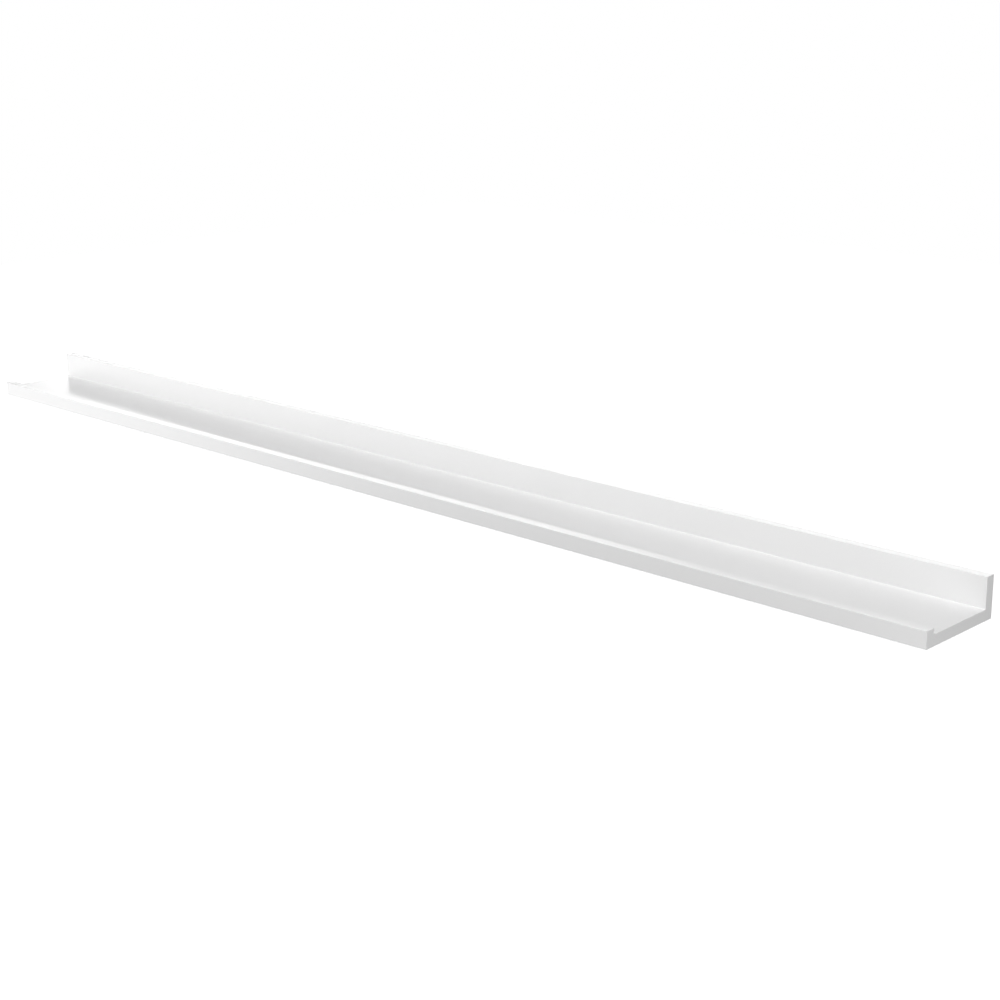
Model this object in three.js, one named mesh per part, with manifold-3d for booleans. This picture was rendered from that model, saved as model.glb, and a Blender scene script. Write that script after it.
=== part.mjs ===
// White floating wall shelf: a long picture ledge of three lacquered boards, hung on hidden keyhole plates.
//
// Millimetres, +Z up. X runs along the shelf, from its left end to its right end, and -Y is the front.
// The origin is the middle of the back rail's rear face, which lies against the wall.

import * as THREE from 'three';
import { mergeVertices } from 'three/addons/utils/BufferGeometryUtils.js';
import Module from 'manifold-3d';

const wasm = await Module();
wasm.setup();

// Driving dimensions of the shelf
const shelfLength = 1524;
const shelfDepth = 115;
const railHeight = 44.5;
const lipHeight = 18.5;
const railThickness = 12;
const baseThickness = 12;
const lipThickness = 12;
const edgeRadius = 0.8;
const capThickness = 1;

// Dowels along the two joints of the base, the first and last of them this far from the shelf's ends,
// with a screw midway between each pair, and the gap round what sits in a hole or a pocket
const dowelCount = 8;
const endMargin = 62;
const fitGap = 0.3;

// Beech dowel: how far it goes into the rail or the lip, the rest of it is in the base
const dowel = { diameter: 6, length: 30, chamfer: 0.8, depthInBoard: 8 };

// Countersunk screw from the rail's rear face into the base's edge
const railScrew = {
  headDiameter: 7, rimHeight: 0.4, headHeight: 2.4, shankDiameter: 3.5, length: 40, tipLength: 3.5,
  recessSpan: 4, recessWidth: 1, recessDepth: 1.5, headInset: 0.4,
};

// Countersunk screw that holds a hanger plate
const plateScrew = {
  headDiameter: 5.6, rimHeight: 0.2, headHeight: 1.3, shankDiameter: 3, length: 9, tipLength: 2,
  recessSpan: 3.2, recessWidth: 0.8, recessDepth: 0.8, headInset: 0.1,
};

// Hangers stand one wall stud apart, as many as the rail takes with this much of it left past the last
const studSpacing = 406.4;
const hangerEndMargin = 90;

// Keyhole plate let into the rail's rear face. A wall screw's head goes in at the round entry, and the
// shelf drops until the screw's shank is at the top of the slot.
const plate = {
  width: 45, height: 20, thickness: 1.5, cornerRadius: 4, screwSpacing: 33,
  entryDiameter: 9.6, slotWidth: 5, slotRise: 7,
};

// Pocket behind the plate that leaves room for the wall screw's head
const headPocket = { width: 12, depth: 6.5 };

// How far a cutter runs past the face that it opens, and how finely round shapes are stepped
const overrun = 1;
const roundSteps = 16;
const cornerSteps = 4;

// Places that follow from the sizes
const boardEndX = shelfLength / 2 - capThickness;
const shelfEndX = shelfLength / 2;
const topZ = railHeight / 2;
const bottomZ = -railHeight / 2;
const baseTopZ = bottomZ + baseThickness;
const baseMiddleZ = bottomZ + baseThickness / 2;
const lipTopZ = bottomZ + lipHeight;
const railFrontY = -railThickness;
const frontY = -shelfDepth;
const lipRearY = frontY + lipThickness;
const plateZ = (baseTopZ + topZ) / 2;
const entryZ = plateZ - plate.slotRise / 2;
const slotTopZ = plateZ + plate.slotRise / 2;

// Materials
const finish = (color, roughness, metalness) => new THREE.MeshStandardMaterial({ color, roughness, metalness });
const whiteLacquer = finish(0xf4f4f3, 0.45, 0);
const whiteLaminate = finish(0xf3f3f2, 0.4, 0);
const beech = finish(0xd9b98a, 0.7, 0);
const zincPlatedSteel = finish(0xb9bec4, 0.35, 1);

// Turns a closed geometry into a solid that can be cut. Triangles that shrink to a line at the axis of
// a turned shape are left out.
function solidOf(geometry) {
  const bare = geometry.clone();
  bare.deleteAttribute('normal');
  bare.deleteAttribute('uv');
  const merged = mergeVertices(bare);
  const corners = merged.index.array;
  const kept = [];
  for (let i = 0; i < corners.length; i += 3) {
    const [a, b, c] = [corners[i], corners[i + 1], corners[i + 2]];
    if (a !== b && b !== c && c !== a) kept.push(a, b, c);
  }
  return new wasm.Manifold(new wasm.Mesh({
    numProp: 3,
    vertProperties: new Float32Array(merged.attributes.position.array),
    triVerts: new Uint32Array(kept),
  }));
}

function geometryOf(solid) {
  const { vertProperties, triVerts } = solid.getMesh();
  const geometry = new THREE.BufferGeometry();
  geometry.setAttribute('position', new THREE.BufferAttribute(new Float32Array(vertProperties), 3));
  geometry.setIndex(new THREE.BufferAttribute(new Uint32Array(triVerts), 1));
  geometry.computeVertexNormals();
  return geometry;
}

function cut(body, cutters) {
  const whole = solidOf(body);
  return geometryOf(cutters.reduce((rest, cutter) => rest.subtract(solidOf(cutter)), whole));
}

const placed = (geometry, x, y, z) => geometry.clone().translate(x, y, z);

// Places along X of equal pieces at one pitch, with as many on each side of the shelf's middle
function places(count, pitch) {
  return Array.from({ length: count }, (_, i) => (i - (count - 1) / 2) * pitch);
}

const fixingPitch = (shelfLength - 2 * endMargin) / (dowelCount - 1);
const hangerCount = 1 + Math.floor((shelfLength - 2 * hangerEndMargin) / studSpacing);
const dowelPlaces = places(dowelCount, fixingPitch);
const screwPlaces = places(dowelCount - 1, fixingPitch);
const platePlaces = places(hangerCount, studSpacing);

// An outline with square corners, each given as [u, v, radius] and rounded by an arc of that radius
function outline(corners) {
  const shape = new THREE.Shape();
  corners.forEach(([u, v, radius], i) => {
    const corner = new THREE.Vector2(u, v);
    const back = new THREE.Vector2(...corners.at(i - 1)).sub(corner).normalize();
    const on = new THREE.Vector2(...corners[(i + 1) % corners.length]).sub(corner).normalize();
    if (radius > 0) {
      const centre = corner.clone().addScaledVector(back, radius).addScaledVector(on, radius);
      const start = Math.atan2(-on.y, -on.x);
      const end = Math.atan2(-back.y, -back.x);
      shape.absarc(centre.x, centre.y, radius, start, end, back.cross(on) > 0);
    } else if (i === 0) {
      shape.moveTo(u, v);
    } else {
      shape.lineTo(u, v);
    }
  });
  return shape;
}

// Runs an outline in y and z along X
function alongX(shape, fromX, toX) {
  const geometry = new THREE.ExtrudeGeometry(shape, {
    depth: toX - fromX, bevelEnabled: false, curveSegments: cornerSteps / 2,
  });
  return geometry.rotateX(Math.PI / 2).rotateZ(Math.PI / 2).translate(fromX, 0, 0);
}

// Runs an outline in x and z along -Y
function alongY(shape, fromY, toY, steps) {
  const geometry = new THREE.ExtrudeGeometry(shape, {
    depth: fromY - toY, bevelEnabled: false, curveSegments: steps / 2,
  });
  return geometry.rotateX(Math.PI / 2).translate(0, fromY, 0);
}

// A turned shape along -Y, from a profile of [radius, distance] pairs
function turned(profile) {
  const points = profile.map(([radius, distance]) => new THREE.Vector2(radius, -distance));
  return new THREE.LatheGeometry(points.reverse(), roundSteps);
}

// The boards' sections. Long edges that meet a neighbour are square, and the others are eased.
const railSection = outline([
  [0, bottomZ, edgeRadius],
  [0, topZ, edgeRadius],
  [railFrontY, topZ, edgeRadius],
  [railFrontY, bottomZ, 0],
]);
const baseSection = outline([
  [railFrontY, bottomZ, 0],
  [railFrontY, baseTopZ, 0],
  [lipRearY, baseTopZ, 0],
  [lipRearY, bottomZ, 0],
]);
const lipSection = outline([
  [lipRearY, bottomZ, 0],
  [lipRearY, lipTopZ, edgeRadius],
  [frontY, lipTopZ, edgeRadius],
  [frontY, bottomZ, edgeRadius],
]);

// The cap on each end covers the whole section
const capSection = outline([
  [0, bottomZ, edgeRadius],
  [0, topZ, edgeRadius],
  [railFrontY, topZ, edgeRadius],
  [railFrontY, baseTopZ, 0],
  [lipRearY, baseTopZ, 0],
  [lipRearY, lipTopZ, edgeRadius],
  [frontY, lipTopZ, edgeRadius],
  [frontY, bottomZ, edgeRadius],
]);

// Dowels, and the hole that one sits in
function dowelShape(gap) {
  const radius = dowel.diameter / 2 + gap;
  const start = -gap;
  const end = dowel.length + gap;
  return turned([
    [0, start],
    [radius - dowel.chamfer, start],
    [radius, start + dowel.chamfer],
    [radius, end - dowel.chamfer],
    [radius - dowel.chamfer, end],
    [0, end],
  ]);
}

const railDowelY = railFrontY + dowel.depthInBoard;
const lipDowelY = lipRearY + dowel.length - dowel.depthInBoard;
const dowelHoles = (y) => dowelPlaces.map((x) => placed(dowelShape(fitGap), x, y, baseMiddleZ));

// A countersunk screw from its head's flat, wider all round by the gap where it is a cutter
function screwShape(screw, gap, top) {
  const headRadius = screw.headDiameter / 2 + gap;
  const shankRadius = screw.shankDiameter / 2 + gap;
  return turned([
    [0, -top],
    [headRadius, -top],
    [headRadius, screw.rimHeight],
    [shankRadius, screw.headHeight],
    [shankRadius, screw.length - screw.tipLength + gap],
    [0, screw.length + gap],
  ]);
}

// The screw itself has a cross recess in its head
function screwPiece(screw) {
  const arms = [
    new THREE.BoxGeometry(screw.recessSpan, 2 * screw.recessDepth, screw.recessWidth),
    new THREE.BoxGeometry(screw.recessWidth, 2 * screw.recessDepth, screw.recessSpan),
  ];
  return cut(screwShape(screw, 0, 0), arms);
}

const screwHole = (screw, x, z) => placed(screwShape(screw, fitGap, overrun), x, -screw.headInset, z);
const railScrewHoles = screwPlaces.map((x) => screwHole(railScrew, x, baseMiddleZ));
const plateSides = { left: -plate.screwSpacing / 2, right: plate.screwSpacing / 2 };
const plateScrewHoles = (x) => Object.values(plateSides).map((side) => screwHole(plateScrew, x + side, plateZ));

// A plate's outline about its own middle, with a gap all round it where it is a pocket
function plateOutline(gap) {
  const halfWidth = plate.width / 2 + gap;
  const halfHeight = plate.height / 2 + gap;
  const radius = plate.cornerRadius + gap;
  return outline([
    [-halfWidth, plateZ - halfHeight, radius],
    [halfWidth, plateZ - halfHeight, radius],
    [halfWidth, plateZ + halfHeight, radius],
    [-halfWidth, plateZ + halfHeight, radius],
  ]);
}

// A round entry with a narrower slot that rises from it. With equal widths it is a plain long hole.
function keyhole(entryDiameter, slotWidth) {
  const meeting = Math.acos(slotWidth / entryDiameter);
  const path = new THREE.Shape();
  path.absarc(0, entryZ, entryDiameter / 2, meeting, Math.PI - meeting, true);
  path.absarc(0, slotTopZ, slotWidth / 2, Math.PI, 0, true);
  return path;
}

function platePiece() {
  const shape = plateOutline(0);
  shape.holes.push(keyhole(plate.entryDiameter, plate.slotWidth));
  return cut(alongY(shape, 0, -plate.thickness, roundSteps / 2), plateScrewHoles(0));
}

function platePocket(x) {
  const seat = alongY(plateOutline(fitGap), overrun, -plate.thickness - fitGap, roundSteps / 2);
  const room = alongY(keyhole(headPocket.width, headPocket.width), overrun, -headPocket.depth, roundSteps / 2);
  return [placed(seat, x, 0, 0), placed(room, x, 0, 0)];
}

// The boards with their holes and pockets
function railPiece() {
  return cut(alongX(railSection, -boardEndX, boardEndX), [
    ...dowelHoles(railDowelY),
    ...railScrewHoles,
    ...platePlaces.flatMap(platePocket),
    ...platePlaces.flatMap(plateScrewHoles),
  ]);
}

function basePiece() {
  return cut(alongX(baseSection, -boardEndX, boardEndX), [
    ...dowelHoles(railDowelY),
    ...dowelHoles(lipDowelY),
    ...railScrewHoles,
  ]);
}

function lipPiece() {
  return cut(alongX(lipSection, -boardEndX, boardEndX), dowelHoles(lipDowelY));
}

// Assembly
const shelf = new THREE.Group();

function add(name, geometry, material, x = 0, y = 0, z = 0) {
  const mesh = new THREE.Mesh(geometry, material.clone());
  mesh.name = name;
  mesh.position.set(x, y, z);
  shelf.add(mesh);
}

add('back_rail', railPiece(), whiteLacquer);
add('base_board', basePiece(), whiteLacquer);
add('front_lip', lipPiece(), whiteLacquer);
add('end_cap_left', alongX(capSection, -shelfEndX, -boardEndX), whiteLaminate);
add('end_cap_right', alongX(capSection, boardEndX, shelfEndX), whiteLaminate);

dowelPlaces.forEach((x, i) => {
  add(`rail_dowel_${i + 1}`, dowelShape(0), beech, x, railDowelY, baseMiddleZ);
  add(`lip_dowel_${i + 1}`, dowelShape(0), beech, x, lipDowelY, baseMiddleZ);
});

screwPlaces.forEach((x, i) => {
  add(`rail_screw_${i + 1}`, screwPiece(railScrew), zincPlatedSteel, x, -railScrew.headInset, baseMiddleZ);
});

platePlaces.forEach((x, i) => {
  add(`hanger_plate_${i + 1}`, platePiece(), zincPlatedSteel, x);
  Object.entries(plateSides).forEach(([side, offset]) => {
    const name = `hanger_${i + 1}_screw_${side}`;
    add(name, screwPiece(plateScrew), zincPlatedSteel, x + offset, -plateScrew.headInset, plateZ);
  });
});

export default shelf;
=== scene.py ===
# %% [markdown]
# # A white picture ledge
# This lesson dresses a long wall shelf of the kind that framed pictures stand on. A ledge of this sort is
# three strips of fibreboard, joined along their edges and sprayed with white lacquer: a tall rail that lies
# on the wall, a flat base, and a low lip that keeps the frames from sliding off. Its fittings are hidden in
# the rear face. The engineering model is loaded first and is never moved. Each piece is then modelled again
# with bmesh operators, at the place and size that the engineering model gives, with the eased edges,
# threads, flutes and finishes that the plain solids leave out.

# %% Load the engineering model
import math

import bmesh
import bpy
from mathutils import Matrix, Vector


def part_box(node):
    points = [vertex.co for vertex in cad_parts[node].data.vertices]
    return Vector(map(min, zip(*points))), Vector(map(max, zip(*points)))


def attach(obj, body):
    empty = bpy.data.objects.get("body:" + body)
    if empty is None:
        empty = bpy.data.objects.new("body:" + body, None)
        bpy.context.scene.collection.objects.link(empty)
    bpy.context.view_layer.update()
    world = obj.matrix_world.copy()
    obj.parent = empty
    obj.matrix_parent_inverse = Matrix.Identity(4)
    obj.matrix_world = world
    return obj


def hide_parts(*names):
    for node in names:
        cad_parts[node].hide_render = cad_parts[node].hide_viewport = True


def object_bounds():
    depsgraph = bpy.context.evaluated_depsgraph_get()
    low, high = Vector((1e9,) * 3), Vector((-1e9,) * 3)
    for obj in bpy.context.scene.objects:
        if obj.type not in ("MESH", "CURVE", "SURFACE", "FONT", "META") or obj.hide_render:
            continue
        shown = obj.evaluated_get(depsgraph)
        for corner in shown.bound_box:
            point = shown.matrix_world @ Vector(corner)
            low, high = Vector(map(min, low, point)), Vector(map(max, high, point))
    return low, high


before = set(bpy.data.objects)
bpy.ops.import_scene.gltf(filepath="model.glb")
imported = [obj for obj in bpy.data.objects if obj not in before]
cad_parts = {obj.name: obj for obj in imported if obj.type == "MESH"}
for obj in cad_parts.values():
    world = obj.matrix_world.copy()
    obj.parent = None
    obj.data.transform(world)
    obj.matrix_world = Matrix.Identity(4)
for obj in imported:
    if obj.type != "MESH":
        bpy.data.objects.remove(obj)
cad_low, cad_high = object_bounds()
mm = 0.001
print("pieces in the model:", len(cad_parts))
print("size in mm:", [round(side / mm, 1) for side in cad_high - cad_low])

# %% [markdown]
# ## The camera
# The ledge is seen from the front, the right and above. The camera's place, its angles and its viewing
# angle follow from the long edges of the ledge, which run to one vanishing point, and from its end face,
# with the ledge's length as the measure. The camera leans a little to one side, so a small roll is kept.

# %% Set the camera
camera_place = Vector((1587.4, -1524.0, 587.8)) * mm
camera_yaw = math.radians(43.991)
camera_pitch = math.radians(16.324)
camera_roll = math.radians(-0.465)
sensor_width = 36
picture_width = 1000
focal_pixels = 1871.3

camera_data = bpy.data.cameras.new("camera")
camera_data.sensor_width = sensor_width
camera_data.lens = focal_pixels * sensor_width / picture_width
camera = bpy.data.objects.new("camera", camera_data)
camera.matrix_world = (
    Matrix.Translation(camera_place)
    @ Matrix.Rotation(camera_yaw, 4, "Z")
    @ Matrix.Rotation(math.pi / 2 - camera_pitch, 4, "X")
    @ Matrix.Rotation(camera_roll, 4, "Z")
)
scene = bpy.context.scene
scene.collection.objects.link(camera)
scene.camera = camera
print("focal length in mm:", round(camera_data.lens, 2))

# %% [markdown]
# ## Sizes
# The shapes below are worked out in millimetres and brought to metres when a piece is made. Outer sizes and
# places are read from the engineering model's boxes, so that the lesson follows it if it changes. Only the
# sizes inside a piece, such as the shape of a keyhole, are written here.

# %% Read the boards' sizes
def box_mm(node):
    """The lowest and highest corner of an engineering node, in millimetres."""
    low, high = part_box(node)
    return low / mm, high / mm


rail_low, rail_high = box_mm("back_rail")
base_low, base_high = box_mm("base_board")
lip_low, lip_high = box_mm("front_lip")
print("rail, base and lip in mm:")
for low, high in ((rail_low, rail_high), (base_low, base_high), (lip_low, lip_high)):
    print("   ", [round(side, 2) for side in high - low])

# %% [markdown]
# ## Helpers for materials
# Colours are written as the hex codes of a paint chart, with two digits each for red, green and blue. One
# function turns them into the linear values that a shader needs, along the sRGB curve, which is straight
# for the darkest tones and a power of the tone above them. A second function adds a node with its settings,
# its constants and its links, so that each material below reads as a short recipe. A third starts each
# material empty.

# %% Colours
full_step = 255
dark_end = 0.04045
dark_slope = 12.92
curve_lift = 0.055
curve_power = 2.4


def colour(code):
    """The linear colour of an sRGB hex code, and an opacity of one."""
    linear = []
    for digits in (code[1:3], code[3:5], code[5:7]):
        part = int(digits, 16) / full_step
        curved = ((part + curve_lift) / (1 + curve_lift)) ** curve_power
        linear.append(part / dark_slope if part <= dark_end else curved)
    return (*linear, 1)


print("a middle grey in linear values:", [round(part, 3) for part in colour("#808080")])

# %% Nodes and materials
def add_node(tree, kind, settings=None, inputs=None):
    """Adds a node. An input that is another node's socket is linked, and any other value is set."""
    node = tree.nodes.new(kind)
    for name, value in (settings or {}).items():
        setattr(node, name, value)
    for name, value in (inputs or {}).items():
        if isinstance(value, bpy.types.NodeSocket):
            tree.links.new(value, node.inputs[name])
        else:
            node.inputs[name].default_value = value
    return node


def new_material(name):
    """An empty material, its output, and the object's own coordinates to draw patterns on."""
    material = bpy.data.materials.new(name)
    material.use_nodes = True
    tree = material.node_tree
    tree.nodes.clear()
    output = add_node(tree, "ShaderNodeOutputMaterial")
    place = add_node(tree, "ShaderNodeTexCoord").outputs["Object"]
    return material, tree, output, place


# Sockets of one node that share a name go by their number. These are a Mix node's, for colours and for
# plain numbers, and the inputs of a Math or an Add Shader node.
mix_factor, mix_low, mix_high, mix_result = 0, 6, 7, 2
plain_low, plain_high, plain_result = 2, 3, 0
first_input, second_input, third_input = 0, 1, 2

# %% [markdown]
# ## White lacquer
# The boards wear a satin white lacquer, sprayed over a primer and sanded between coats. It is smooth and
# neutral in hue, and its sheen is soft: it brightens where the eye looks along the surface at a light, as
# on the rail's top. It varies a little in thickness and in sheen over a hand's breadth. A wide noise gives
# the finish that life without showing as a pattern. The laminate on the ends is made to match this white,
# so one function makes it for both.

# %% Tone and sheen of the lacquer
coat_patch = 90
coat_gloss = 0.32
coat_dull = 0.38


def white_coat(tree, place):
    """A noise as wide as a hand, and the white that follows it."""
    coat = add_node(
        tree, "ShaderNodeTexNoise",
        inputs={"Vector": place, "Scale": 1 / (coat_patch * mm), "Detail": 3},
    )
    tone = add_node(
        tree, "ShaderNodeMix", {"data_type": "RGBA"},
        {mix_factor: coat.outputs["Fac"], mix_low: colour("#E6E6E6"), mix_high: colour("#E8E8E8")},
    )
    return coat.outputs["Fac"], tone.outputs[mix_result]


lacquer, tree, output, place = new_material("satin_white_lacquer")
coat, tone = white_coat(tree, place)
sheen = add_node(
    tree, "ShaderNodeMapRange", inputs={"Value": coat, "To Min": coat_gloss, "To Max": coat_dull},
)
print("roughness of the lacquer:", coat_gloss, "to", coat_dull)

# %% [markdown]
# ## Bare primer and painted edge shade
# The rear face lies on the wall and gets the primer alone, which is greyer and matt, and lets the board's
# fibres show. One material carries both finishes: the primer takes over within half a millimetre of the
# rear face, by the depth of the point. That grey is also painted shade. It covers the eased edges round the
# rear face and draws a thin dark line along the rail's rear top edge, where the edge turns away from the
# light. It also keeps the rear face from glaring under the lamps behind it.

# %% Primer on the rear face, and painted shade on its edges
primer_and_shade_start = -0.5
primer_and_shade_full = -0.1
primer_fibre = 1.2
primer_dull = 0.75

axes = add_node(tree, "ShaderNodeSeparateXYZ", inputs={"Vector": place})
# This mask also paints shade: its grey covers the eased edges round the rear face, as a thin dark line along
# the rail's top.
primer_and_shade_mask = add_node(
    tree, "ShaderNodeMapRange",
    inputs={"Value": axes.outputs["Y"], "From Min": primer_and_shade_start * mm, "From Max": primer_and_shade_full * mm},
)
fibres = add_node(
    tree, "ShaderNodeTexNoise", inputs={"Vector": place, "Scale": 1 / (primer_fibre * mm), "Detail": 5},
)
primer_and_shade_tone = add_node(
    tree, "ShaderNodeMix", {"data_type": "RGBA"},
    {mix_factor: fibres.outputs["Fac"], mix_low: colour("#CFCECA"), mix_high: colour("#DEDDDA")},
)
surface_tone = add_node(
    tree, "ShaderNodeMix", {"data_type": "RGBA"},
    {mix_factor: primer_and_shade_mask.outputs["Result"], mix_low: tone, mix_high: primer_and_shade_tone.outputs[mix_result]},
)
surface_sheen = add_node(
    tree, "ShaderNodeMapRange",
    inputs={"Value": primer_and_shade_mask.outputs["Result"], "To Min": sheen.outputs["Result"], "To Max": primer_dull},
)
print("the primer fades out by this depth in mm:", -primer_and_shade_start)

# %% [markdown]
# ## Rubbed top and orange peel
# Hands and dusters take the gloss off the rail's top edge first, so the lacquer is duller there. Sprayed
# paint always keeps a trace of orange peel, a ripple of a few thousandths of a millimetre that repeats every
# millimetre or two. It is too shallow to model, so a bump map tilts the light instead.

# %% Finished lacquer
rubbed_depth = 0.4
rubbed_dull = 0.41
peel_width = 1.6
peel_height = 0.003

rubbed = add_node(
    tree, "ShaderNodeMapRange",
    inputs={
        "Value": axes.outputs["Z"],
        "From Min": (rail_high.z - rubbed_depth) * mm,
        "From Max": (rail_high.z - rubbed_depth / 2) * mm,
    },
)
finish_sheen = add_node(
    tree, "ShaderNodeMapRange",
    inputs={
        "Value": rubbed.outputs["Result"],
        "To Min": surface_sheen.outputs["Result"],
        "To Max": rubbed_dull,
    },
)
peel = add_node(
    tree, "ShaderNodeTexNoise",
    inputs={"Vector": place, "Scale": 1 / (peel_width * mm), "Detail": 1},
)
ripple = add_node(
    tree, "ShaderNodeBump",
    inputs={"Strength": 1, "Distance": peel_height * mm, "Height": peel.outputs["Fac"]},
)
shader = add_node(
    tree, "ShaderNodeBsdfPrincipled",
    inputs={
        "Base Color": surface_tone.outputs[mix_result],
        "Roughness": finish_sheen.outputs["Result"],
        "Normal": ripple.outputs["Normal"],
    },
)
tree.links.new(shader.outputs["BSDF"], output.inputs["Surface"])
print("material:", lacquer.name)

# %% [markdown]
# ## White edging
# A thin white laminate, ironed on and trimmed flush, covers the boards' ends, which is why no joint shows
# there. Its white is the lacquer's. Pressing gives it a finer and drier grain than sprayed paint, so its
# ripple is smaller and its sheen a little duller.

# %% White edging laminate
press_grain = 0.7
press_height = 0.002
press_gloss = 0.38
press_dull = 0.44

laminate, tree, output, place = new_material("white_edging_laminate")
coat, tone = white_coat(tree, place)
sheen = add_node(
    tree, "ShaderNodeMapRange", inputs={"Value": coat, "To Min": press_gloss, "To Max": press_dull},
)
grain = add_node(
    tree, "ShaderNodeTexNoise",
    inputs={"Vector": place, "Scale": 1 / (press_grain * mm), "Detail": 2},
)
ripple = add_node(
    tree, "ShaderNodeBump",
    inputs={"Strength": 1, "Distance": press_height * mm, "Height": grain.outputs["Fac"]},
)
shader = add_node(
    tree, "ShaderNodeBsdfPrincipled",
    inputs={"Base Color": tone, "Roughness": sheen.outputs["Result"], "Normal": ripple.outputs["Normal"]},
)
tree.links.new(shader.outputs["BSDF"], output.inputs["Surface"])
print("material:", laminate.name)

# %% [markdown]
# ## Raw fibreboard
# The pockets and holes are cut after the spraying, so their walls show the bare board: pressed wood fibre,
# light brown, matt and a little furry. Fibres are a millimetre or two long and lie mostly flat, so one
# noise is stretched along the board, and a fine one adds the dust-like speckle between them.

# %% Raw fibreboard
fibre_length = 2.0
fibre_width = 0.3
speckle = 0.2
speckle_share = 0.5
fur_height = 0.05
fibreboard_dull = 0.92

fibreboard, tree, output, place = new_material("raw_fibreboard")
stretch = add_node(
    tree, "ShaderNodeMapping",
    inputs={"Vector": place, "Scale": (fibre_width / fibre_length, 1, 1)},
)
fibres = add_node(
    tree, "ShaderNodeTexNoise",
    inputs={"Vector": stretch.outputs["Vector"], "Scale": 1 / (fibre_width * mm), "Detail": 3},
)
dust = add_node(
    tree, "ShaderNodeTexNoise",
    inputs={"Vector": place, "Scale": 1 / (speckle * mm), "Detail": 2},
)
lay = add_node(
    tree, "ShaderNodeMix", {"data_type": "RGBA"},
    {mix_factor: fibres.outputs["Fac"], mix_low: colour("#8F6E49"), mix_high: colour("#C9A77C")},
)
tone = add_node(
    tree, "ShaderNodeMix", {"data_type": "RGBA", "blend_type": "SOFT_LIGHT"},
    {mix_factor: speckle_share, mix_low: lay.outputs[mix_result], mix_high: dust.outputs["Color"]},
)
fur = add_node(
    tree, "ShaderNodeBump",
    inputs={"Strength": 1, "Distance": fur_height * mm, "Height": fibres.outputs["Fac"]},
)
shader = add_node(
    tree, "ShaderNodeBsdfPrincipled",
    inputs={
        "Base Color": tone.outputs[mix_result],
        "Roughness": fibreboard_dull,
        "Normal": fur.outputs["Normal"],
    },
)
tree.links.new(shader.outputs["BSDF"], output.inputs["Surface"])
print("material:", fibreboard.name)

# %% [markdown]
# ## Beech
# The dowels are turned from beech, a pale and even wood with a faint pinkish cast. What tells it apart is
# its short dark flecks, a millimetre or two long, which lie along the grain. The dowels run from front to
# back, so the grain is stretched along Y.

# %% Beech
grain_length = 30
grain_width = 0.5
fleck_length = 2.0
fleck_width = 0.25
fleck_start = 0.62
fleck_full = 0.72
pore_depth = 0.02
beech_dull = 0.62

beech, tree, output, place = new_material("turned_beech")
along_grain = add_node(
    tree, "ShaderNodeMapping",
    inputs={"Vector": place, "Scale": (1, grain_width / grain_length, 1)},
)
grain = add_node(
    tree, "ShaderNodeTexNoise",
    inputs={"Vector": along_grain.outputs["Vector"], "Scale": 1 / (grain_width * mm), "Detail": 3},
)
tone = add_node(
    tree, "ShaderNodeMix", {"data_type": "RGBA"},
    {mix_factor: grain.outputs["Fac"], mix_low: colour("#C79F74"), mix_high: colour("#E2C299")},
)
along_fleck = add_node(
    tree, "ShaderNodeMapping",
    inputs={"Vector": place, "Scale": (1, fleck_width / fleck_length, 1)},
)
flecks = add_node(
    tree, "ShaderNodeTexNoise",
    inputs={"Vector": along_fleck.outputs["Vector"], "Scale": 1 / (fleck_width * mm), "Detail": 1},
)
fleck_mask = add_node(
    tree, "ShaderNodeMapRange",
    inputs={"Value": flecks.outputs["Fac"], "From Min": fleck_start, "From Max": fleck_full},
)
flecked = add_node(
    tree, "ShaderNodeMix", {"data_type": "RGBA"},
    {
        mix_factor: fleck_mask.outputs["Result"],
        mix_low: tone.outputs[mix_result],
        mix_high: colour("#9A6E45"),
    },
)
pores = add_node(
    tree, "ShaderNodeBump",
    inputs={"Strength": 1, "Distance": pore_depth * mm, "Height": grain.outputs["Fac"]},
)
shader = add_node(
    tree, "ShaderNodeBsdfPrincipled",
    inputs={
        "Base Color": flecked.outputs[mix_result],
        "Roughness": beech_dull,
        "Normal": pores.outputs["Normal"],
    },
)
tree.links.new(shader.outputs["BSDF"], output.inputs["Surface"])
print("material:", beech.name)

# %% [markdown]
# ## Bright zinc plate
# The keyhole plates and the screws are steel with a bright zinc coat. Zinc is a cool grey metal. The coat
# clouds over in patches a few millimetres across, some a touch bluer and some a touch yellower, and its
# gloss changes with them. Rolling the sheet and drawing the wire leave fine scratches along the metal, which
# change its colour and gloss a little as well. Real ones are a few hundredths of a millimetre wide, too fine
# to show in the picture, so they are drawn at five times that.

# %% Bright zinc plate
cloud_width = 6
zinc_gloss = 0.24
zinc_dull = 0.42
scratch_length = 6.0
scratch_width = 0.2
scratch_depth = 0.01
scratch_share = 0.5

zinc, tree, output, place = new_material("bright_zinc_plate")
clouds = add_node(
    tree, "ShaderNodeTexNoise",
    inputs={"Vector": place, "Scale": 1 / (cloud_width * mm), "Detail": 4},
)
along_scratch = add_node(
    tree, "ShaderNodeMapping",
    inputs={"Vector": place, "Scale": (scratch_width / scratch_length, 1, 1)},
)
scratches = add_node(
    tree, "ShaderNodeTexNoise",
    inputs={"Vector": along_scratch.outputs["Vector"], "Scale": 1 / (scratch_width * mm), "Detail": 2},
)
wear = add_node(
    tree, "ShaderNodeMix", {"data_type": "FLOAT"},
    {mix_factor: scratch_share, plain_low: clouds.outputs["Fac"], plain_high: scratches.outputs["Fac"]},
)
tone = add_node(
    tree, "ShaderNodeMix", {"data_type": "RGBA"},
    {mix_factor: wear.outputs[plain_result], mix_low: colour("#8B9298"), mix_high: colour("#C2C1BB")},
)
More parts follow.
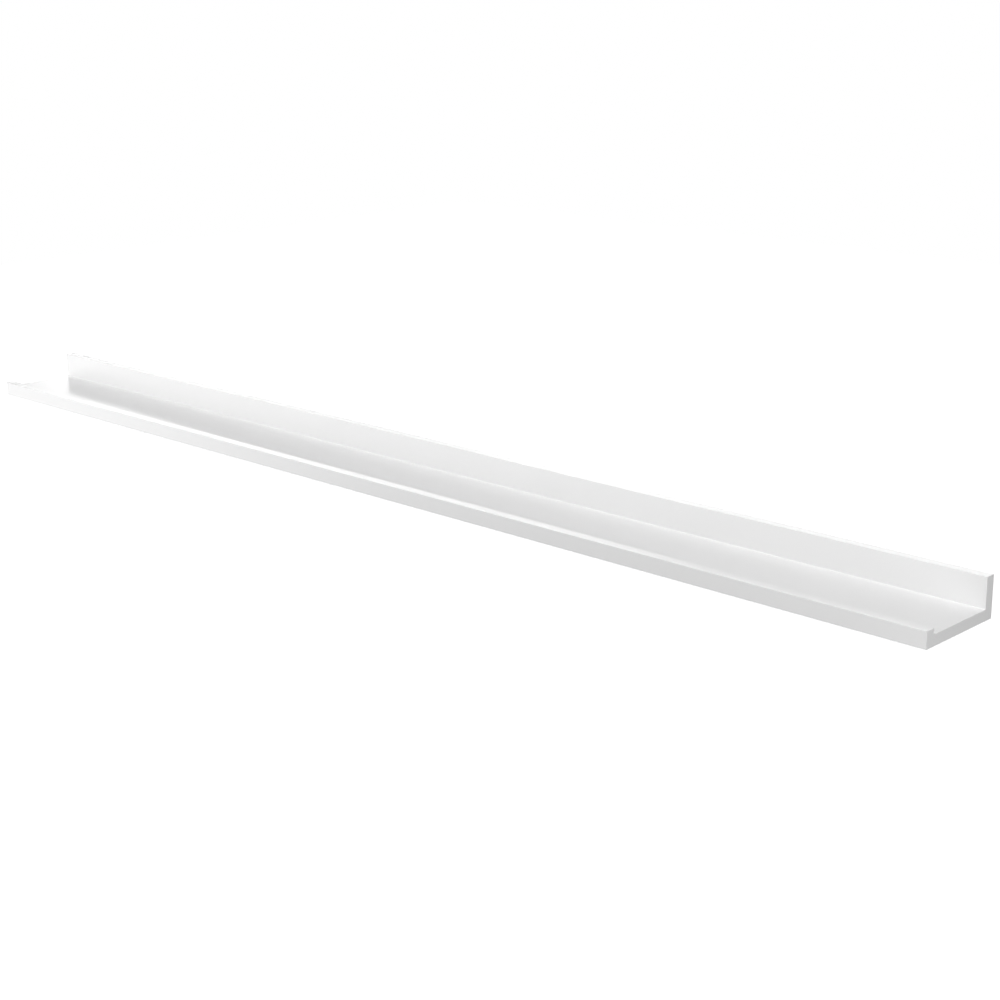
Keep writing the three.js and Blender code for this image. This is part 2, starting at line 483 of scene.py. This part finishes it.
gloss = add_node(
    tree, "ShaderNodeMapRange",
    inputs={"Value": wear.outputs[plain_result], "To Min": zinc_gloss, "To Max": zinc_dull},
)
scored = add_node(
    tree, "ShaderNodeBump",
    inputs={"Strength": 1, "Distance": scratch_depth * mm, "Height": scratches.outputs["Fac"]},
)
shader = add_node(
    tree, "ShaderNodeBsdfPrincipled",
    inputs={
        "Base Color": tone.outputs[mix_result],
        "Metallic": 1,
        "Roughness": gloss.outputs["Result"],
        "Normal": scored.outputs["Normal"],
    },
)
tree.links.new(shader.outputs["BSDF"], output.inputs["Surface"])
print("material:", zinc.name)

# %% [markdown]
# ## Helpers for shapes
# Nearly every piece here is one of two kinds: an outline that runs straight, such as a board, or a profile
# turned about an axis, such as a screw. An outline starts as one face. A bevel of its corners rounds them
# to true arcs, and an extrusion runs it along. A turned piece starts as a line of edges that is spun
# through a full circle. Where the spin meets its start, or a profile touches the axis, points fall together,
# and they are merged, because only a closed shape can be cut and printed.

# %% Bars
arc_steps = 6
merge_gap = 0.001


def bar(corners, axis, start, end):
    """Runs an outline of (across, up, radius) corners along X or Y, with each corner rounded."""
    bm = bmesh.new()
    points = []
    for across, up, radius in corners:
        points.append(bm.verts.new((start, across, up) if axis == "X" else (across, start, up)))
    bm.faces.new(points)
    for size in sorted({radius for across, up, radius in corners if radius}):
        rounded = [point for point, (across, up, radius) in zip(points, corners) if radius == size]
        bmesh.ops.bevel(
            bm, geom=rounded, offset=size, affect="VERTICES", segments=arc_steps, profile=0.5, material=-1,
        )
    bmesh.ops.remove_doubles(bm, verts=bm.verts, dist=merge_gap)
    run = bmesh.ops.extrude_face_region(bm, geom=bm.faces[:])
    moved = [part for part in run["geom"] if isinstance(part, bmesh.types.BMVert)]
    travel = (end - start, 0, 0) if axis == "X" else (0, end - start, 0)
    bmesh.ops.translate(bm, vec=travel, verts=moved)
    bmesh.ops.recalc_face_normals(bm, faces=bm.faces)
    return bm


print("steps in a rounded corner:", arc_steps)

# %% Turned shapes
turn_steps = 32


def turned(profile, steps=turn_steps):
    """Spins a profile of (radius, distance) points about the Y axis. Distance runs towards the front."""
    bm = bmesh.new()
    points = [bm.verts.new((radius, -distance, 0)) for radius, distance in profile]
    edges = [bm.edges.new(pair) for pair in zip(points, points[1:])]
    bmesh.ops.spin(
        bm, geom=points + edges, cent=(0, 0, 0), axis=(0, 1, 0), dvec=(0, 0, 0),
        angle=2 * math.pi, steps=steps, use_merge=True, use_normal_flip=False, use_duplicate=False,
    )
    bmesh.ops.remove_doubles(bm, verts=bm.verts, dist=merge_gap)
    bmesh.ops.recalc_face_normals(bm, faces=bm.faces)
    return bm


print("steps round a turned piece:", turn_steps)

# %% Copies and objects
def copies(shape, places):
    """One bmesh that holds a copy of a shape at each place."""
    pattern = bpy.data.meshes.new("pattern")
    shape.to_mesh(pattern)
    shape.free()
    whole = bmesh.new()
    for place in places:
        copy = pattern.copy()
        copy.transform(Matrix.Translation(place))
        whole.from_mesh(copy)
        bpy.data.meshes.remove(copy)
    bpy.data.meshes.remove(pattern)
    return whole


def make_piece(name, bm, material):
    """Makes an object in metres from a bmesh in millimetres. The object stays at the origin."""
    bmesh.ops.scale(bm, vec=(mm, mm, mm), verts=bm.verts)
    mesh = bpy.data.meshes.new(name)
    bm.to_mesh(mesh)
    bm.free()
    mesh.materials.append(material)
    piece = bpy.data.objects.new(name, mesh)
    scene.collection.objects.link(piece)
    return piece


# %% [markdown]
# ## Cutting and finishing
# A Boolean modifier cuts the holes, as a drill or a router does, and gives the cut walls the cutter's own
# material. Its result is kept as the piece's mesh and the cutters are thrown away. After that the piece is
# shaded smooth up to a chosen angle. The Weighted Normal modifier makes the broad faces keep their own
# direction, so that light bends only round the small eased edges. The finished piece then stands for its
# engineering node, and its open edges are counted: a closed piece has none.

# %% Cut and join
def keep_modified(piece):
    """Replaces a piece's mesh by what its modifiers make of it."""
    depsgraph = bpy.context.evaluated_depsgraph_get()
    mesh = bpy.data.meshes.new_from_object(piece.evaluated_get(depsgraph), depsgraph=depsgraph)
    piece.modifiers.clear()
    old = piece.data
    piece.data = mesh
    bpy.data.meshes.remove(old)
    mesh.name = piece.name


def combine(piece, others, operation):
    """Cuts other closed pieces out of this one, or joins them to it, and removes them."""
    for other in others:
        step = piece.modifiers.new(operation.lower(), "BOOLEAN")
        step.operation = operation
        step.solver = "EXACT"
        step.material_mode = "TRANSFER"
        step.object = other
    keep_modified(piece)
    for other in others:
        bpy.data.objects.remove(other)


# %% Smooth
smooth_angle = 32


def shade(piece):
    """Shades a piece smooth, sharp past an angle, with normals that favour its broad faces."""
    piece.data.shade_smooth()
    piece.data.set_sharp_from_angle(angle=math.radians(smooth_angle))
    weigh = piece.modifiers.new("weighted", "WEIGHTED_NORMAL")
    weigh.keep_sharp = True
    keep_modified(piece)


print("edges stay sharp past this angle in degrees:", smooth_angle)

# %% Place and count
def open_edges(piece):
    """The number of edges that don't have a face on each side, which is none on a closed piece."""
    bm = bmesh.new()
    bm.from_mesh(piece.data)
    found = sum(len(edge.link_faces) != 2 for edge in bm.edges)
    bm.free()
    return found


def dress(piece, node):
    """Lets a finished piece stand for an engineering node."""
    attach(piece, "root")
    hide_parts(node)


def describe(piece):
    """Prints how finely a piece is made, and whether it is closed."""
    print(piece.name, "faces:", len(piece.data.polygons), "open edges:", open_edges(piece))


# %% [markdown]
# ## The holes for dowels and screws
# Each hole is a little wider than what sits in it. A dowel hole follows the dowel with a fine gap all
# round, and a screw hole widens to a cone where the head sits. They are turned shapes, like the drill and
# the countersink that cut them, and their places are read from the dowels and screws of the engineering
# model.

# %% Hole cutters
fit_gap = 0.3
overrun = 1
dowel_chamfer = 0.8
rail_rim, rail_cone, rail_shank = 0.4, 2.4, 3.5
plate_rim, plate_cone, plate_shank = 0.2, 1.3, 3.0


def middle(node):
    """The middle of a node's box, in millimetres."""
    low, high = box_mm(node)
    return (low + high) / 2


def numbered(stem):
    """The names of the nodes that start with a stem and end in a number, in the model's order."""
    return [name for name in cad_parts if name.startswith(stem) and name[len(stem):].isdigit()]


def dowel_cutter(name, nodes):
    """A cutter for the holes of a row of dowels."""
    low, high = box_mm(nodes[0])
    radius = (high.x - low.x) / 2 + fit_gap
    half = (high.y - low.y) / 2 + fit_gap
    shape = turned([
        (0, -half), (radius - dowel_chamfer, -half), (radius, -half + dowel_chamfer),
        (radius, half - dowel_chamfer), (radius - dowel_chamfer, half), (0, half),
    ])
    return make_piece(name, copies(shape, [middle(node) for node in nodes]), fibreboard)


def screw_cutter(name, nodes, rim, cone, shank):
    """A cutter for the countersunk holes of a set of screws, which opens the rear face."""
    low, high = box_mm(nodes[0])
    head = (high.x - low.x) / 2 + fit_gap
    length = high.y - low.y + fit_gap
    stem = shank / 2 + fit_gap
    shape = turned([
        (0, -overrun), (head, -overrun), (head, rim), (stem, cone), (stem, length), (0, length),
    ])
    places = [Vector((middle(node).x, high.y, middle(node).z)) for node in nodes]
    return make_piece(name, copies(shape, places), fibreboard)


rail_dowels = numbered("rail_dowel_")
lip_dowels = numbered("lip_dowel_")
rail_screws = numbered("rail_screw_")
plates = numbered("hanger_plate_")
plate_screws = [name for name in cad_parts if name.startswith("hanger_") and "_screw_" in name]
print("dowels:", len(rail_dowels), "and", len(lip_dowels))
print("screws:", len(rail_screws), "and", len(plate_screws), "plates:", len(plates))

# %% [markdown]
# ## The pockets for the plates
# A router sinks a shallow seat for each keyhole plate, and behind the keyhole a deeper slot, so that the
# head of the wall screw has room to slide. A long hole with round ends is a bar whose four corners are
# rounded by half its width, so the same helper makes it.

# %% Pocket cutters
plate_corner = 4
entry_diameter = 9.6
slot_width = 5
slot_rise = 7
room_width = 12
room_depth = 6.5

plate_low, plate_high = box_mm(plates[0])
plate_size = plate_high - plate_low
plate_middle_z = middle(plates[0]).z
entry_z = plate_middle_z - slot_rise / 2
slot_top_z = plate_middle_z + slot_rise / 2


def plate_corners(gap):
    """The plate's outline about its own middle, wider all round by a gap."""
    half_width = plate_size.x / 2 + gap
    low_z, high_z = plate_low.z - gap, plate_high.z + gap
    radius = plate_corner + gap
    return [
        (-half_width, low_z, radius), (half_width, low_z, radius),
        (half_width, high_z, radius), (-half_width, high_z, radius),
    ]


def long_hole(width, low_z, high_z):
    """The outline of an upright hole with round ends, from the middle of one arc to that of the other."""
    half = width / 2
    return [
        (-half, low_z - half, half), (half, low_z - half, half),
        (half, high_z + half, half), (-half, high_z + half, half),
    ]


plate_places = [Vector((middle(node).x, 0, 0)) for node in plates]
seat_shape = bar(plate_corners(fit_gap), "Y", overrun, -plate_size.y - fit_gap)
room_shape = bar(long_hole(room_width, entry_z, slot_top_z), "Y", overrun, -room_depth)
seat_cutter = make_piece("seat_cutter", copies(seat_shape, plate_places), fibreboard)
room_cutter = make_piece("room_cutter", copies(room_shape, plate_places), fibreboard)
print("plate in mm:", [round(side, 2) for side in plate_size])

# %% [markdown]
# ## The back rail
# The rail is the tall board at the back. Its long edges are eased by a fine radius, as sandpaper leaves
# them, except where it meets the base. Its rear face carries the pockets and the screws, and its front face
# is bare.

# %% Back rail
edge_radius = 0.5

rail_section = [
    (rail_high.y, rail_low.z, edge_radius),
    (rail_high.y, rail_high.z, edge_radius),
    (rail_low.y, rail_high.z, edge_radius),
    (rail_low.y, rail_low.z, 0),
]
rail = make_piece("lacquered_rail", bar(rail_section, "X", rail_low.x, rail_high.x), lacquer)
combine(
    rail,
    [
        dowel_cutter("rail_dowel_cutter", rail_dowels),
        screw_cutter("rail_screw_cutter", rail_screws, rail_rim, rail_cone, rail_shank),
        seat_cutter,
        room_cutter,
        screw_cutter("plate_screw_cutter", plate_screws, plate_rim, plate_cone, plate_shank),
    ],
    "DIFFERENCE",
)
shade(rail)
dress(rail, "back_rail")
describe(rail)

# %% [markdown]
# ## The base board
# The base lies between the rail and the lip, and the frames stand on it. Primer and lacquer flow into its
# two inner corners and dry there as a small hollow fillet, with a film that runs a short way up each
# neighbour. The fillet is what catches the light as a fine line along the foot of the rail. In the outline
# it is an inner corner, rounded like the others. Underneath, the joints are eased just enough to show.

# %% Base board
fillet_radius = 0.8
film = 0.05
film_reach = 1.0
joint_ease = 0.15

base_section = [
    (base_high.y, base_low.z, joint_ease),
    (base_high.y, base_high.z + film_reach, 0),
    (base_high.y - film, base_high.z + film_reach, 0),
    (base_high.y - film, base_high.z, fillet_radius),
    (base_low.y + film, base_high.z, fillet_radius),
    (base_low.y + film, base_high.z + film_reach, 0),
    (base_low.y, base_high.z + film_reach, 0),
    (base_low.y, base_low.z, joint_ease),
]
base = make_piece("lacquered_base", bar(base_section, "X", base_low.x, base_high.x), lacquer)
combine(
    base,
    [
        dowel_cutter("rear_dowel_cutter", rail_dowels),
        dowel_cutter("front_dowel_cutter", lip_dowels),
        screw_cutter("base_screw_cutter", rail_screws, rail_rim, rail_cone, rail_shank),
    ],
    "DIFFERENCE",
)
shade(base)
dress(base, "base_board")
describe(base)

# %% [markdown]
# ## The front lip
# The lip covers the base's front edge and stands a little above it, so that a frame can't slide off. It is
# the same board as the others, ripped narrow and turned on edge, with its three free edges eased.

# %% Front lip
lip_section = [
    (lip_high.y, lip_low.z, 0),
    (lip_high.y, lip_high.z, edge_radius),
    (lip_low.y, lip_high.z, edge_radius),
    (lip_low.y, lip_low.z, edge_radius),
]
lip = make_piece("lacquered_lip", bar(lip_section, "X", lip_low.x, lip_high.x), lacquer)
combine(lip, [dowel_cutter("lip_dowel_cutter", lip_dowels)], "DIFFERENCE")
shade(lip)
dress(lip, "front_lip")
describe(lip)

# %% [markdown]
# ## The end caps
# A cap follows the outline of the three boards together, inner fillets included, and is one millimetre
# thick. Trimming takes its outer edge off by a fraction of a millimetre, which a bevel of the outer loop
# does. That edge is what draws a thin line of light round the end of the ledge.

# %% End caps
cap_ease = 0.3
cap_ease_steps = 3
cap_section = [
    (rail_high.y, rail_low.z, edge_radius),
    (rail_high.y, rail_high.z, edge_radius),
    (rail_low.y, rail_high.z, edge_radius),
    (rail_low.y, base_high.z, fillet_radius),
    (lip_high.y, base_high.z, fillet_radius),
    (lip_high.y, lip_high.z, edge_radius),
    (lip_low.y, lip_high.z, edge_radius),
    (lip_low.y, lip_low.z, edge_radius),
]


def end_cap(name, node, inner_x, outer_x):
    """A thin cap over the boards' ends, with its outer edge eased."""
    bm = bar(cap_section, "X", inner_x, outer_x)
    rim = [edge for edge in bm.edges if all(abs(point.co.x - outer_x) < merge_gap for point in edge.verts)]
    bmesh.ops.bevel(
        bm, geom=rim, offset=cap_ease, affect="EDGES", segments=cap_ease_steps, profile=0.5, material=-1,
    )
    cap = make_piece(name, bm, laminate)
    shade(cap)
    dress(cap, node)
    describe(cap)


left_low, left_high = box_mm("end_cap_left")
right_low, right_high = box_mm("end_cap_right")
end_cap("trimmed_cap_left", "end_cap_left", left_high.x, left_low.x)
end_cap("trimmed_cap_right", "end_cap_right", right_low.x, right_high.x)

# %% [markdown]
# ## The dowels
# Beech dowels line up the boards and hold the glue. Glue needs somewhere to go, so a dowel has straight
# flutes along its side, and its ends are chamfered so that it starts easily. It begins as a circle at one
# end, which is extruded ring by ring: out to the full size for the chamfer, along the dowel, and in again.
# On the two full rings every second point is drawn in, and the flutes run between them.

# %% Fluted dowels
flutes = 24
flute_depth = 0.25


def fluted_dowel(radius, half):
    """A dowel along Y about the origin."""
    bm = bmesh.new()
    bmesh.ops.create_circle(bm, cap_ends=True, segments=2 * flutes, radius=radius - dowel_chamfer)
    bmesh.ops.rotate(bm, matrix=Matrix.Rotation(math.pi / 2, 3, "X"), verts=bm.verts)
    bmesh.ops.translate(bm, vec=(0, half, 0), verts=bm.verts)
    rings = [
        (radius, half - dowel_chamfer),
        (radius, dowel_chamfer - half),
        (radius - dowel_chamfer, -half),
    ]
    face = bm.faces[:][0]
    for ring_radius, y in rings:
        run = bmesh.ops.extrude_face_region(bm, geom=[face])
        bmesh.ops.delete(bm, geom=[face], context="FACES_KEEP_BOUNDARY")
        face = next(part for part in run["geom"] if isinstance(part, bmesh.types.BMFace))
        for i, point in enumerate(face.verts):
            in_flute = ring_radius == radius and i % 2
            reach = ring_radius - flute_depth if in_flute else ring_radius
            out = Vector((point.co.x, 0, point.co.z)).normalized()
            point.co = (out.x * reach, y, out.z * reach)
    return bm


def place_dowels(nodes):
    """One fluted dowel for each node."""
    low, high = box_mm(nodes[0])
    for node in nodes:
        bm = fluted_dowel((high.x - low.x) / 2, (high.y - low.y) / 2)
        bmesh.ops.holes_fill(bm, edges=bm.edges)
        bmesh.ops.translate(bm, vec=middle(node), verts=bm.verts)
        bmesh.ops.recalc_face_normals(bm, faces=bm.faces)
        dowel = make_piece(f"fluted_{node}", bm, beech)
        shade(dowel)
        dress(dowel, node)
    describe(dowel)


place_dowels(rail_dowels)
place_dowels(lip_dowels)

# %% [markdown]
# ## The screws
# A wood screw has a countersunk head with a cross recess, a smooth neck, and a thread that winds down to a
# sharp tip. The core is a turned profile. The thread is a small triangle spun round the axis while it
# travels along it, and it is joined to the core. It rises out of the core over its first turn, and the last
# few millimetres of both are drawn in towards the axis for the tip. The recess is cut by two crossed blades
# that narrow with depth.

# %% Core, thread and recess
thread_steps = 20
root_share = 0.85
ridge_share = 0.62
tip_shares = (0.86, 0.9, 0.94, 0.97, 1)
recess_taper = 0.55


def screw_core(head, rim, cone, core, thread_start, length):
    """The turned body of a screw, with rings along its tip to be drawn in later."""
    head_rings = [(0, 0), (head, 0), (head, rim), (core, cone), (core, thread_start)]
    tip_rings = [(core, length * share) for share in tip_shares]
    return turned([*head_rings, *tip_rings, (0, length)])


def screw_thread(core, outer, start, end, pitch):
    """A helical ridge that rises out of the core over its first turn."""
    bm = bmesh.new()
    root = core * root_share
    half = pitch * ridge_share / 2
    corners = [(root, start - half), (outer, start), (root, start + half)]
    bm.faces.new([bm.verts.new((radius, -distance, 0)) for radius, distance in corners])
    turns = (end - start) / pitch
    steps = round(turns * thread_steps)
    bmesh.ops.spin(
        bm, geom=bm.faces[:], cent=(0, 0, 0), axis=(0, 1, 0), dvec=(0, -(end - start) / steps, 0),
        angle=2 * math.pi * turns, steps=steps, use_merge=False, use_normal_flip=False, use_duplicate=False,
    )
    for point in bm.verts:
        radius = math.hypot(point.co.x, point.co.z)
        rise = min(1, (-point.co.y - start + half) / pitch)
        shrink = (root + (radius - root) * rise) / radius
        point.co.x *= shrink
        point.co.z *= shrink
    bmesh.ops.recalc_face_normals(bm, faces=bm.faces)
    return bm


def recess_blades(span, width, depth):
    """Two crossed blades that narrow with depth. Each starts as a cube that reaches 1 mm each way."""
    blades = []
    for turn in (0, math.pi / 2):
        bm = bmesh.new()
        bmesh.ops.create_cube(bm, size=2)
        bmesh.ops.scale(bm, vec=(span / 2, depth, width / 2), verts=bm.verts)
        deep = [point for point in bm.verts if point.co.y < 0]
        bmesh.ops.scale(bm, vec=(recess_taper, 1, recess_taper), verts=deep)
        bmesh.ops.rotate(bm, matrix=Matrix.Rotation(turn, 3, "Y"), verts=bm.verts)
        blades.append(make_piece("blade", bm, zinc))
    return blades


print("thread steps in a turn:", thread_steps)

# %% [markdown]
# ## Long and short screws
# The long screws pull the base to the rail, and each hanger plate has two short ones. Their lengths and
# heads are read from the engineering model. Each kind is made once, and every copy is turned by its own
# angle, as screws driven by hand are.

# %% Threaded screws
core_share = 0.64
tip_width = 0.03
screw_turn = math.radians(47)


def make_screw(name, length, head, rim, cone, shank, pitch, thread_share, tip, recess):
    """A whole screw with its head's flat at the origin, pointing to -Y."""
    core = shank / 2 * core_share
    start = length * (1 - thread_share)
    body = make_piece(name, screw_core(head, rim, cone, core, start, length), zinc)
    ridge = screw_thread(core, shank / 2, start, length - pitch / 2, pitch)
    combine(body, [make_piece("ridge", ridge, zinc)], "UNION")
    for point in body.data.vertices:
        left = length + point.co.y / mm
        if left < tip:
            draw_in = max(left / tip, tip_width)
            point.co.x *= draw_in
            point.co.z *= draw_in
    combine(body, recess_blades(**recess), "DIFFERENCE")
    shade(body)
    return body


def place_screws(pattern, nodes):
    """A copy of a screw at each node, each turned by its own angle."""
    for i, node in enumerate(nodes):
        low, high = box_mm(node)
        place = Vector((middle(node).x, high.y, middle(node).z)) * mm
        screw = bpy.data.objects.new(f"threaded_{node}", pattern.data.copy())
        screw.data.transform(Matrix.Translation(place) @ Matrix.Rotation(i * screw_turn, 4, "Y"))
        screw.data.name = screw.name
        scene.collection.objects.link(screw)
        dress(screw, node)
    describe(pattern)
    bpy.data.objects.remove(pattern)


rail_screw_low, rail_screw_high = box_mm(rail_screws[0])
rail_screw_size = rail_screw_high - rail_screw_low
long_screw = make_screw(
    "long_screw", rail_screw_size.y, rail_screw_size.x / 2, rail_rim, rail_cone, rail_shank,
    pitch=1.8, thread_share=0.62, tip=5, recess={"span": 4, "width": 1, "depth": 1.5},
)
place_screws(long_screw, rail_screws)

plate_screw_low, plate_screw_high = box_mm(plate_screws[0])
plate_screw_size = plate_screw_high - plate_screw_low
short_screw = make_screw(
    "short_screw", plate_screw_size.y, plate_screw_size.x / 2, plate_rim, plate_cone, plate_shank,
    pitch=1.35, thread_share=0.78, tip=2.4, recess={"span": 3.2, "width": 0.8, "depth": 0.8},
)
place_screws(short_screw, plate_screws)

# %% [markdown]
# ## The hanger plates
# A keyhole plate is stamped from sheet steel: a rounded outline, a round entry for the wall screw's head
# with a narrower slot rising from it, and two countersunk holes. The openings are cut one by one, and then
# a Bevel modifier eases every sharp edge, as stamping and plating do.

# %% Keyhole plates
plate_ease = 0.12
plate_ease_steps = 2
plate_bevel_angle = math.radians(50)
entry_steps = 48


def keyhole_plate():
    """A plate about x = 0, with its rear face in line with the rail's."""
    plate = make_piece("keyhole_plate", bar(plate_corners(0), "Y", 0, -plate_size.y), zinc)
    entry_radius = entry_diameter / 2
    entry = turned(
        [(0, -overrun), (entry_radius, -overrun), (entry_radius, room_depth), (0, room_depth)],
        entry_steps,
    )
    bmesh.ops.translate(entry, vec=(0, 0, entry_z), verts=entry.verts)
    slot = bar(long_hole(slot_width, entry_z, slot_top_z), "Y", overrun, -room_depth)
    own_screws = [name for name in plate_screws if name.startswith("hanger_1_")]
    plate_x = middle(plates[0]).x
    spots = [
        Vector((middle(name).x - plate_x, plate_screw_high.y, middle(name).z)) for name in own_screws
    ]
    head = plate_screw_size.x / 2 + fit_gap
    stem = plate_shank / 2 + fit_gap
    sink = turned([
        (0, -overrun), (head, -overrun), (head, plate_rim),
        (stem, plate_cone), (stem, room_depth), (0, room_depth),
    ])
    cutters = [
        make_piece("entry_cutter", entry, zinc),
        make_piece("slot_cutter", slot, zinc),
        make_piece("sink_cutter", copies(sink, spots), zinc),
    ]
    combine(plate, cutters, "DIFFERENCE")
    ease = plate.modifiers.new("ease", "BEVEL")
    ease.width = plate_ease * mm
    ease.segments = plate_ease_steps
    ease.limit_method = "ANGLE"
    ease.angle_limit = plate_bevel_angle
    keep_modified(plate)
    shade(plate)
    return plate


pattern = keyhole_plate()
for node in plates:
    plate = bpy.data.objects.new(f"stamped_{node}", pattern.data.copy())
    plate.data.transform(Matrix.Translation((middle(node).x * mm, 0, 0)))
    plate.data.name = plate.name
    scene.collection.objects.link(plate)
    dress(plate, node)
describe(pattern)
bpy.data.objects.remove(pattern)

# %% [markdown]
# ## The floor and the background
# The ledge hangs clear of everything on a white ground. A pale floor lies far below, so that views from
# underneath stay open. What the camera and mirror-like reflections see of the floor and the world is white,
# and all other light finds a plain pale floor and a dim, even surrounding. From here on sizes are in metres.

# %% The floor's sheet
floor_size = 40
floor_drop = 3.3

bm = bmesh.new()
bmesh.ops.create_grid(bm, x_segments=1, y_segments=1, size=floor_size / 2)
bmesh.ops.translate(bm, vec=(0, 0, -floor_drop), verts=bm.verts)
floor_mesh = bpy.data.meshes.new("floor")
bm.to_mesh(floor_mesh)
bm.free()
floor = bpy.data.objects.new("floor", floor_mesh)
scene.collection.objects.link(floor)
print("floor below the ledge in m:", floor_drop)

# %% Paper on the floor
mottle_size = 0.33
floor_glow = 1.0


def seen_directly(tree):
    """One for camera, glossy and transmission rays, and zero for the others."""
    rays = add_node(tree, "ShaderNodeLightPath").outputs
    shiny = add_node(
        tree, "ShaderNodeMath", {"operation": "MAXIMUM"},
        {first_input: rays["Is Glossy Ray"], second_input: rays["Is Transmission Ray"]},
    )
    direct = add_node(
        tree, "ShaderNodeMath", {"operation": "MAXIMUM"},
        {first_input: rays["Is Camera Ray"], second_input: shiny.outputs["Value"]},
    )
    return direct.outputs["Value"]


paper, tree, output, place = new_material("pale_paper")
mottle = add_node(tree, "ShaderNodeTexNoise", inputs={"Vector": place, "Scale": 1 / mottle_size})
tone = add_node(
    tree, "ShaderNodeMix", {"data_type": "RGBA"},
    {mix_factor: mottle.outputs["Fac"], mix_low: colour("#E6E6E6"), mix_high: colour("#E9E9E9")},
)
matt = add_node(tree, "ShaderNodeBsdfDiffuse", inputs={"Color": tone.outputs[mix_result]})
glow_strength = add_node(
    tree, "ShaderNodeMath", {"operation": "MULTIPLY"},
    {first_input: seen_directly(tree), second_input: floor_glow},
)
glow = add_node(
    tree, "ShaderNodeEmission",
    inputs={"Color": colour("#FFFFFF"), "Strength": glow_strength.outputs["Value"]},
)
both = add_node(
    tree, "ShaderNodeAddShader",
    inputs={first_input: matt.outputs["BSDF"], second_input: glow.outputs["Emission"]},
)
tree.links.new(both.outputs["Shader"], output.inputs["Surface"])
floor_mesh.materials.append(paper)
print("material:", paper.name)

# %% The world
ambient = 0.167

world = bpy.data.worlds.new("white_surround")
world.use_nodes = True
scene.world = world
tree = world.node_tree
tree.nodes.clear()
strength = add_node(
    tree, "ShaderNodeMath", {"operation": "MULTIPLY_ADD"},
    {first_input: seen_directly(tree), second_input: 1 - ambient, third_input: ambient},
)
background = add_node(
    tree, "ShaderNodeBackground",
    inputs={"Color": colour("#FFFFFF"), "Strength": strength.outputs["Value"]},
)
add_node(tree, "ShaderNodeOutputWorld", inputs={"Surface": background.outputs["Background"]})
print("strength of the surrounding light:", ambient)

# %% [markdown]
# ## The light
# The ledge hangs in a white studio with soft lamps all round it. Two broad ones stand high on the front and
# the right, and three smaller ones stand close: two before the left end, the brightest part, and one before
# the right end. All these stand in front of the rail, because a lamp straight above would be half hidden by
# it and would draw a dark band along its foot. Four long, low lamps behind the rail graze over its top: they
# light the lip's upper edge and leave the rail's soft shadow on the base. A lamp's height sets how soft that
# shadow's edge is, so these are wide and not high. The last two stand low behind the ledge and beyond its
# left end, and light only the sides that are turned away from the camera.

# %% Lamps
shelf_middle = (cad_low + cad_high) / 2


def lamp(name, azimuth, elevation, watts, aim=0, distance=3, width=1.1, height=1.1):
    """A soft lamp that faces the ledge at aim along X. In degrees, azimuth 0 is the front, 90 the right."""
    turn, rise = math.radians(azimuth), math.radians(elevation)
    flat = math.cos(rise)
    away = Vector((math.sin(turn) * flat, -math.cos(turn) * flat, math.sin(rise)))
    target = Vector((aim, shelf_middle.y, 0))
    data = bpy.data.lights.new(name, "AREA")
    data.shape = "RECTANGLE"
    data.size = width
    data.size_y = height
    data.energy = watts
    light = bpy.data.objects.new(name, data)
    aimed = (-away).to_track_quat("-Z", "Y").to_matrix().to_4x4()
    light.matrix_world = Matrix.Translation(target + away * distance) @ aimed
    light.visible_camera = False
    scene.collection.objects.link(light)
    return light


broad_lamps = [
    lamp("high", azimuth=20, elevation=65, watts=32.8),
    lamp("right", azimuth=70, elevation=42, watts=27.9),
]
left_aim, right_aim = -0.7, 0.7
close_lamps = [
    lamp(
        "left_front", azimuth=-12, elevation=8, watts=16.8,
        aim=left_aim, distance=1.5, width=0.9, height=0.9,
    ),
    lamp(
        "left_near", azimuth=-43, elevation=-19, watts=0.8,
        aim=left_aim, distance=0.93, width=0.45, height=0.45,
    ),
    lamp(
        "right_near", azimuth=43, elevation=0, watts=2.5,
        aim=right_aim, distance=0.88, width=0.45, height=0.45,
    ),
]
rear_aim, rear_distance = -0.3, 2.6
rear_lamps = [
    lamp(
        "rear", azimuth=180, elevation=12.4, watts=7.2,
        aim=-0.4, distance=1.5, width=1.5, height=0.2,
    ),
    lamp(
        "rear_left", azimuth=215, elevation=16, watts=2.7,
        aim=rear_aim, distance=rear_distance, width=0.8, height=0.1,
    ),
    lamp(
        "left_rear", azimuth=228, elevation=12.5, watts=5.1,
        aim=rear_aim, distance=rear_distance, width=1.6, height=0.2,
    ),
    lamp(
        "left_end", azimuth=234, elevation=14, watts=2.3,
        aim=rear_aim, distance=rear_distance, width=0.8, height=0.2,
    ),
]
low_lamps = [
    lamp("rear_below", azimuth=180, elevation=-45, watts=30),
    lamp("left_below", azimuth=260, elevation=-15, watts=27, width=0.5, height=0.5),
]
lamps = [*broad_lamps, *close_lamps, *rear_lamps, *low_lamps]
scene.view_settings.view_transform = "Standard"
print("lamps:", len(lamps), "with watts in all:", round(sum(light.data.energy for light in lamps), 1))
